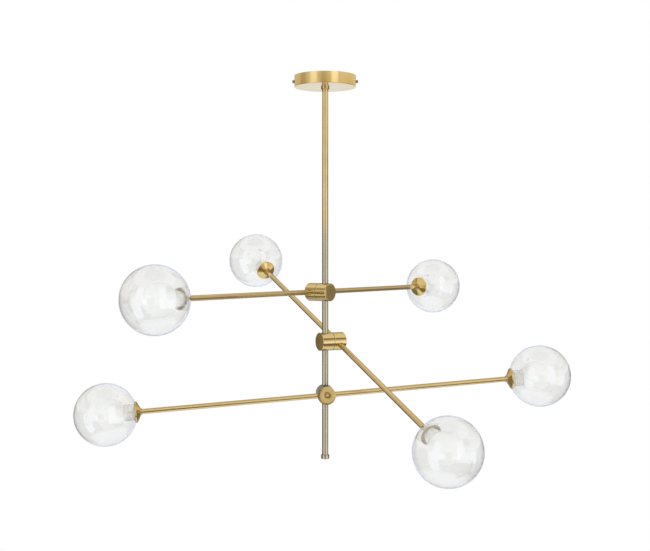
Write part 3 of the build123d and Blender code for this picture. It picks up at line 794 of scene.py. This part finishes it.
for key, arms in LAMPS.items():
    swivel, tilt = joints[f"{key}_swivel_turn"], joints[f"{key}_arms_tilt"]
    on_stem, hub = Vector(swivel["pos_m"]), Vector(tilt["pos_m"])
    outward = (hub - on_stem).normalized()
    boxes = [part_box(f"{key}_{arm}_arm_tube") for arm in arms]
    middles = [(low + high) / 2 for low, high in boxes]
    lead = (middles[0] - middles[1]).normalized()
    clamp_place = basis(on_stem, outward, UP)
    make_clamp(key, clamp_place, f"{key}_swivel")
    make_pivot(key, clamp_place, f"{key}_swivel")
    make_hub(key, basis(hub, outward, lead), f"{key}_arms")
    for arm, sign in zip(arms, (1, -1)):
        arm_place = basis(hub, sign * lead, outward)
        lamp_place = arm_place @ Matrix.Translation((0, 0, ARM_REACH * MM))
        make_arm(f"{key}_{arm}", arm_place, f"{key}_arms")
        make_lamp(f"{key}_{arm}", lamp_place, f"{key}_arms")
    finish_node(f"{key}_grub_screw", "steel")
    finish_node(f"{key}_friction_washer", "washer")
    finish_node(f"{key}_led_capsules", "capsule")


# ---------------------------------------------------------------- studio (metres)

FLOOR_LEVEL = -1.5
FLOOR_FULL, FLOOR_FADE = 0.5, 1.15
FLOOR_GLOW = 0.7  # how far the camera sees it as pure white


def floor_look():
    """Pale floor that fades into the white studio away from the object."""
    look = Look("floor_paper", own_axes=False, Roughness=0.9)
    patches = look.noise(look.place(), 6.0, 3.0)
    paper_tone = look.ramp(patches, (0.35, (0.95, 0.95, 0.945)), (0.65, (0.97, 0.97, 0.965)))
    look.put("Base Color", paper_tone)
    reach = look.node("VectorMath", {0: look.place()}, operation="LENGTH").outputs["Value"]
    seen = look.math("MULTIPLY", look.node("LightPath").outputs["Is Camera Ray"], FLOOR_GLOW)
    glow = look.node("Emission").outputs[0]
    lit = look.mix_shaders(seen, look.shader.outputs[0], glow)
    clear = look.node("BsdfTransparent").outputs[0]
    look.show(look.mix_shaders(look.smoothstep(reach, FLOOR_FULL, FLOOR_FADE), lit, clear))
    return look.material


paper = bmesh.new()
bmesh.ops.create_circle(paper, cap_ends=True, segments=128, radius=FLOOR_FADE + 0.05)
floor = mesh_object("floor", paper, Matrix.Translation((0, 0, FLOOR_LEVEL)))
floor.data.materials.append(floor_look())


def softbox(name, place, aim, side, glow):
    """A square lamp for matt surfaces; brass and glass mirror the studio's walls instead."""
    lamp = bpy.data.lights.new(name, "AREA")
    lamp.shape, lamp.size, lamp.size_y = "RECTANGLE", side, side
    lamp.energy = glow * pi * side * side
    made = bpy.data.objects.new(name, lamp)
    scene.collection.objects.link(made)
    z = (Vector(place) - Vector(aim)).normalized()
    across = Vector(UP).cross(z) if abs(z.z) < 0.99 else (1, 0, 0)
    made.matrix_world = basis(place, z, across)
    made.visible_camera = made.visible_transmission = made.visible_glossy = False


softbox("softbox_left", (-1.6, -1.4, -0.4), (0, 0, -0.5), 1.4, 0.9)
softbox("softbox_right", (1.6, -1.4, -0.4), (0, 0, -0.5), 1.4, 0.9)
softbox("softbox_top", (0.0, 0.0, 1.2), (0, 0, 0), 2.4, 0.5)

# What brass and glass mirror of the studio.
FRONT_WALL, FRONT_BASE = (0.65, 0.60, 0.47), (0.21, 0.17, 0.09)
SIDE_WALL, BACK_WALL = (0.25, 0.225, 0.19), (0.84, 0.89, 1.02)
CEILING, CEILING_MIDDLE = (0.79, 0.75, 0.64), (0.48, 0.45, 0.38)
GROUND = (0.90, 0.86, 0.74)
BANNER = (0.80, 0.77, 0.68)
SCREEN = (0.56, 0.51, 0.41)
LEFT_SHELF, RIGHT_SHELF = (0.70, 0.64, 0.52), (0.80, 0.74, 0.62)
BOX = (1.04, 1.06, 1.12)
LEFT_WINDOW, RIGHT_WINDOW = (1.07, 1.07, 1.06), (1.17, 1.13, 1.15)

# The walls from the front round to the back, in half turns.
FRONT_ENDS, SIDE_STARTS, SIDE_ENDS, BACK_STARTS = 0.44, 0.52, 0.78, 0.86

# Rectangles on those walls. Each has its left, right, bottom and top and its edge's softness, all
# in degrees seen from the object, where 0 is level and toward the camera, and then its colour.
# A later one covers an earlier one.
PANELS = (
    (-180, 180, 65, 90, 3, CEILING_MIDDLE),
    (-28, 34, 13, 57, 4, BANNER),
    (-160, -84, 4, 34, 3, SCREEN),
    (78, 160, 8, 40, 3, SCREEN),
    (-105, -72, -47, 7, 2, FRONT_BASE),
    (-150, -104, 6, 14, 2, LEFT_SHELF),
    (56, 150, 6, 14, 2, RIGHT_SHELF),
    (-72, -38, -50, 5, 3, BOX),
    (-70, -14, -12, 5, 3, BOX),
    (24, 92, -24, 3, 3, BOX),
    (-16, 5, -13, 8, 3, FRONT_BASE),
    (-56, -30, -12, 40, 4, LEFT_WINDOW),
    (23, 49, -12, 40, 4, RIGHT_WINDOW),
)

UPPER_FRONT = (-100, 100, 22, 90, 4)  # the same for the dark part of the front wall
BASE_TOP = (-17, -11)  # degrees of elevation over which the front wall's base ends
GROUND_EDGE = (0.03, 0.09)  # the same for the ground and the ceiling, 0 straight down and 1 up
CEILING_EDGE = (0.80, 0.84)

# Light on matt surfaces from straight below, from the level and from straight above.
MATT_LIGHT = ((0.0, 1.36), (0.5, 0.92), (1.0, 0.62))


def studio_world():
    """White for the camera and through glass, the walls above for brass and glass to mirror, and
    an even light for matt surfaces."""
    world = bpy.data.worlds.new("studio")
    world.use_nodes = True
    scene.world = world
    sky = Nodes(world.node_tree)
    x, y, z = sky.split(sky.node("TexCoord").outputs["Generated"])
    azimuth = sky.math("ARCTAN2", x, sky.math("MULTIPLY", y, -1.0))
    elevation = sky.math("ARCSINE", z)
    round_about = sky.math("DIVIDE", sky.math("ABSOLUTE", azimuth), pi)
    level = sky.math("ADD", sky.math("MULTIPLY", z, 0.5), 0.5)

    def wall(front):
        return sky.ramp(
            round_about, (FRONT_ENDS, front), (SIDE_STARTS, SIDE_WALL), (SIDE_ENDS, SIDE_WALL),
            (BACK_STARTS, BACK_WALL))

    def panel(left, right, bottom, top, soft):
        """1 inside the rectangle and 0 outside it."""
        sides = [
            sky.smoothstep(angle, radians(edge - way * soft), radians(edge + way * soft))
            for angle, edge, way in (
                (azimuth, left, 1), (azimuth, right, -1),
                (elevation, bottom, 1), (elevation, top, -1),
            )
        ]
        across, upright = sky.math("MULTIPLY", *sides[:2]), sky.math("MULTIPLY", *sides[2:])
        return sky.math("MULTIPLY", across, upright)

    above_base = sky.smoothstep(elevation, *(radians(edge) for edge in BASE_TOP))
    down = sky.ramp(level, (GROUND_EDGE[0], grey(1.0)), (GROUND_EDGE[1], grey(0.0)))
    up = sky.ramp(level, (CEILING_EDGE[0], grey(0.0)), (CEILING_EDGE[1], grey(1.0)))
    gloss = sky.mix(above_base, wall(FRONT_BASE), wall(FRONT_WALL))
    gloss = sky.mix(down, gloss, GROUND)
    gloss = sky.mix(panel(*UPPER_FRONT), gloss, FRONT_BASE)
    gloss = sky.mix(up, gloss, CEILING)
    for *edges, colour in PANELS:
        gloss = sky.mix(panel(*edges), gloss, colour)

    matt = sky.ramp(level, *((height, grey(glow)) for height, glow in MATT_LIGHT))
    path = sky.node("LightPath").outputs
    seen = sky.math("MAXIMUM", path["Is Camera Ray"], path["Is Transmission Ray"])
    lit = sky.mix(seen, sky.mix(path["Is Diffuse Ray"], gloss, matt), grey(1.0))
    light = sky.node("Background", {0: lit, 1: 1.0})
    sky.node("OutputWorld", {0: light.outputs[0]})


studio_world()

CAMERA_PLACE = (0.00172, -2.1504, -0.3575)
CAMERA_PITCH = 0.775  # degrees below level
CAMERA_YAW = -0.055  # degrees to the right of the Y axis
CAMERA_LENS = 61.34
data = bpy.data.cameras.new("camera")
data.lens, data.sensor_width, data.sensor_fit = CAMERA_LENS, 36.0, "HORIZONTAL"
data.clip_start, data.clip_end = 0.05, 50.0
camera = bpy.data.objects.new("camera", data)
scene.collection.objects.link(camera)
camera.matrix_world = (
    Matrix.Translation(CAMERA_PLACE) @ Matrix.Rotation(radians(-CAMERA_YAW), 4, "Z")
    @ Matrix.Rotation(radians(90 - CAMERA_PITCH), 4, "X")
)
scene.camera = camera
scene.view_settings.view_transform = "Standard"
